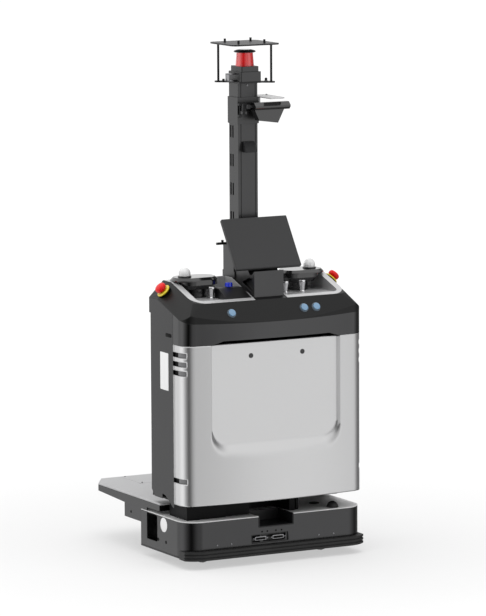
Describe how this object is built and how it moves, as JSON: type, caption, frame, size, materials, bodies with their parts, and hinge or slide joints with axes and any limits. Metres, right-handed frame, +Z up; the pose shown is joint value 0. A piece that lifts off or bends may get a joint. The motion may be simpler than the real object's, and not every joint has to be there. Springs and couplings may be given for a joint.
{
  "type": "autonomous mobile robot",
  "caption": "Wheeled mobile robot with a low base, rear load deck, tall body with console and tilting screen, and a sensor mast with a guarded rangefinder.",
  "frame": {"origin": "on the floor under the middle of the whole robot", "axes": "+Z up, -Y towards the front, +X to the viewer's right when looking at the front"},
  "size_m": [0.715, 0.767, 1.785],
  "materials": {
    "zinc_plate": "zinc plated, satin",
    "charcoal_shell": "satin charcoal paint",
    "light_plate": "light grey satin paint",
    "black_plastic": "matte black",
    "bumper_rubber": "ribbed black rubber",
    "battery_case": "textured",
    "frame_steel": "powder coat",
    "motor_metal": "cast, satin",
    "silver_cover": "metallic silver paint, satin",
    "console_black": "satin black",
    "silver_tray": "metallic silver paint",
    "gloss_black": "gloss black",
    "opal_dome": "opal",
    "polished_steel": "polished",
    "blue_lens": "translucent lens",
    "stop_red": "gloss red",
    "stop_yellow": "gloss yellow",
    "screen_black": "dark glass front",
    "mast_paint": "satin charcoal paint",
    "guard_paint": "black powder coat",
    "sensor_case": "fine texture",
    "red_window": "red tinted",
    "mirror_metal": "satin",
    "wheel_tread": "bonded tread on a metal hub",
    "caster_tread": "soft tread"
  },
  "bodies": {
    "chassis": {"floor_plate": "zinc_plate", "base_pan": "charcoal_shell", "base_top_plate": "light_plate", "notch_liner": "black_plastic", "bumper_strip": "bumper_rubber", "dock_socket": "black_plastic", "battery_pack": "battery_case", "deck_plate": "light_plate", "deck_hatch": "light_plate", "deck_skirt": "charcoal_shell", "rear_frame": "frame_steel", "drive_motors": "motor_metal", "caster_plates": "zinc_plate", "neck_frame": "frame_steel", "rubber_buffers": "bumper_rubber", "front_cover": "silver_cover", "front_band": "charcoal_shell", "rear_panel": "charcoal_shell", "body_frame": "frame_steel", "console_shell": "console_black", "console_trays": "silver_tray", "sensor_pods": "gloss_black", "signal_domes": "opal_dome", "locating_posts": "polished_steel", "blue_button_base": "console_black", "stop_collars": "stop_yellow", "pedestal": "charcoal_shell", "mast_profile": "mast_paint", "mast_foot": "charcoal_shell", "mast_collar": "mast_paint", "camera_hood": "black_plastic", "sensor_deck": "guard_paint", "guard_posts": "guard_paint", "guard_plate": "guard_paint", "guard_studs": "polished_steel", "rangefinder_base": "sensor_case", "rangefinder_window": "red_window", "rangefinder_cap": "gloss_black", "side_panel_left": "charcoal_shell", "side_panel_right": "charcoal_shell"},
    "drive_left": {"drive_wheel_left": "wheel_tread"},
    "drive_right": {"drive_wheel_right": "wheel_tread"},
    "screen": {"screen_panel": "screen_black"},
    "stop_left": {"stop_button_left": "stop_red"},
    "stop_right": {"stop_button_right": "stop_red"},
    "blue_key": {"blue_button": "blue_lens"},
    "key_left": {"push_button_left": "blue_lens"},
    "key_centre": {"push_button_centre": "blue_lens"},
    "key_right": {"push_button_right": "blue_lens"},
    "scanner_pan_body": {"scanner_arm": "black_plastic"},
    "scanner": {"scanner_head": "black_plastic"},
    "mirror": {"mirror_rotor": "mirror_metal"},
    "fork_front_left": {"caster_fork_front_left": "zinc_plate"},
    "caster_front_left": {"caster_wheel_front_left": "caster_tread"},
    "fork_front_right": {"caster_fork_front_right": "zinc_plate"},
    "caster_front_right": {"caster_wheel_front_right": "caster_tread"},
    "fork_rear_left": {"caster_fork_rear_left": "zinc_plate"},
    "caster_rear_left": {"caster_wheel_rear_left": "caster_tread"},
    "fork_rear_right": {"caster_fork_rear_right": "zinc_plate"},
    "caster_rear_right": {"caster_wheel_rear_right": "caster_tread"}
  },
  "joints": [
    {"name": "drive_left_spin", "type": "hinge", "parent": "chassis", "child": "drive_left", "pos_m": [-0.235, -0.1335, 0.075], "axis": [1, 0, 0], "continuous": true},
    {"name": "drive_right_spin", "type": "hinge", "parent": "chassis", "child": "drive_right", "pos_m": [0.235, -0.1335, 0.075], "axis": [1, 0, 0], "continuous": true},
    {"name": "screen_tilt", "type": "hinge", "parent": "chassis", "child": "screen", "pos_m": [0, -0.26214, 1.0472], "axis": [1, 0, 0], "range_deg": [-15, 0]},
    {"name": "stop_left_press", "type": "slide", "parent": "chassis", "child": "stop_left", "axis": [0.7071, 0, -0.7071], "range_m": [0, 0.005], "stiffness_N_per_m": 900},
    {"name": "stop_right_press", "type": "slide", "parent": "chassis", "child": "stop_right", "axis": [-0.7071, 0, -0.7071], "range_m": [0, 0.005], "stiffness_N_per_m": 900},
    {"name": "blue_press", "type": "slide", "parent": "chassis", "child": "blue_key", "axis": [0, 0, -1], "range_m": [0, 0.0025], "stiffness_N_per_m": 500},
    {"name": "button_left_press", "type": "slide", "parent": "chassis", "child": "key_left", "axis": [0, 0.8338, -0.552], "range_m": [0, 0.002], "stiffness_N_per_m": 500},
    {"name": "button_centre_press", "type": "slide", "parent": "chassis", "child": "key_centre", "axis": [0, 0.8338, -0.552], "range_m": [0, 0.002], "stiffness_N_per_m": 500},
    {"name": "button_right_press", "type": "slide", "parent": "chassis", "child": "key_right", "axis": [0, 0.8338, -0.552], "range_m": [0, 0.002], "stiffness_N_per_m": 500},
    {"name": "scanner_pan", "type": "hinge", "parent": "chassis", "child": "scanner_pan_body", "pos_m": [-0.028, -0.198, 1.558], "axis": [0, 0, 1], "range_deg": [-25, 5]},
    {"name": "scanner_tilt", "type": "hinge", "parent": "scanner_pan_body", "child": "scanner", "pos_m": [-0.004, -0.216, 1.558], "axis": [1, 0, 0], "range_deg": [-15, 15]},
    {"name": "mirror_spin", "type": "hinge", "parent": "chassis", "child": "mirror", "pos_m": [0, -0.1495, 1.693], "axis": [0, 0, 1], "continuous": true},
    {"name": "caster_front_left_swivel", "type": "hinge", "parent": "chassis", "child": "fork_front_left", "pos_m": [-0.232, -0.2815, 0.09], "axis": [0, 0, 1], "continuous": true},
    {"name": "caster_front_left_roll", "type": "hinge", "parent": "fork_front_left", "child": "caster_front_left", "pos_m": [-0.232, -0.2535, 0.0375], "axis": [1, 0, 0], "continuous": true},
    {"name": "caster_front_right_swivel", "type": "hinge", "parent": "chassis", "child": "fork_front_right", "pos_m": [0.232, -0.2815, 0.09], "axis": [0, 0, 1], "continuous": true},
    {"name": "caster_front_right_roll", "type": "hinge", "parent": "fork_front_right", "child": "caster_front_right", "pos_m": [0.232, -0.2535, 0.0375], "axis": [1, 0, 0], "continuous": true},
    {"name": "caster_rear_left_swivel", "type": "hinge", "parent": "chassis", "child": "fork_rear_left", "pos_m": [-0.17, 0.1985, 0.09], "axis": [0, 0, 1], "continuous": true},
    {"name": "caster_rear_left_roll", "type": "hinge", "parent": "fork_rear_left", "child": "caster_rear_left", "pos_m": [-0.17, 0.2265, 0.0375], "axis": [1, 0, 0], "continuous": true},
    {"name": "caster_rear_right_swivel", "type": "hinge", "parent": "chassis", "child": "fork_rear_right", "pos_m": [0.17, 0.1985, 0.09], "axis": [0, 0, 1], "continuous": true},
    {"name": "caster_rear_right_roll", "type": "hinge", "parent": "fork_rear_right", "child": "caster_rear_right", "pos_m": [0.17, 0.2265, 0.0375], "axis": [1, 0, 0], "continuous": true}
  ]
}
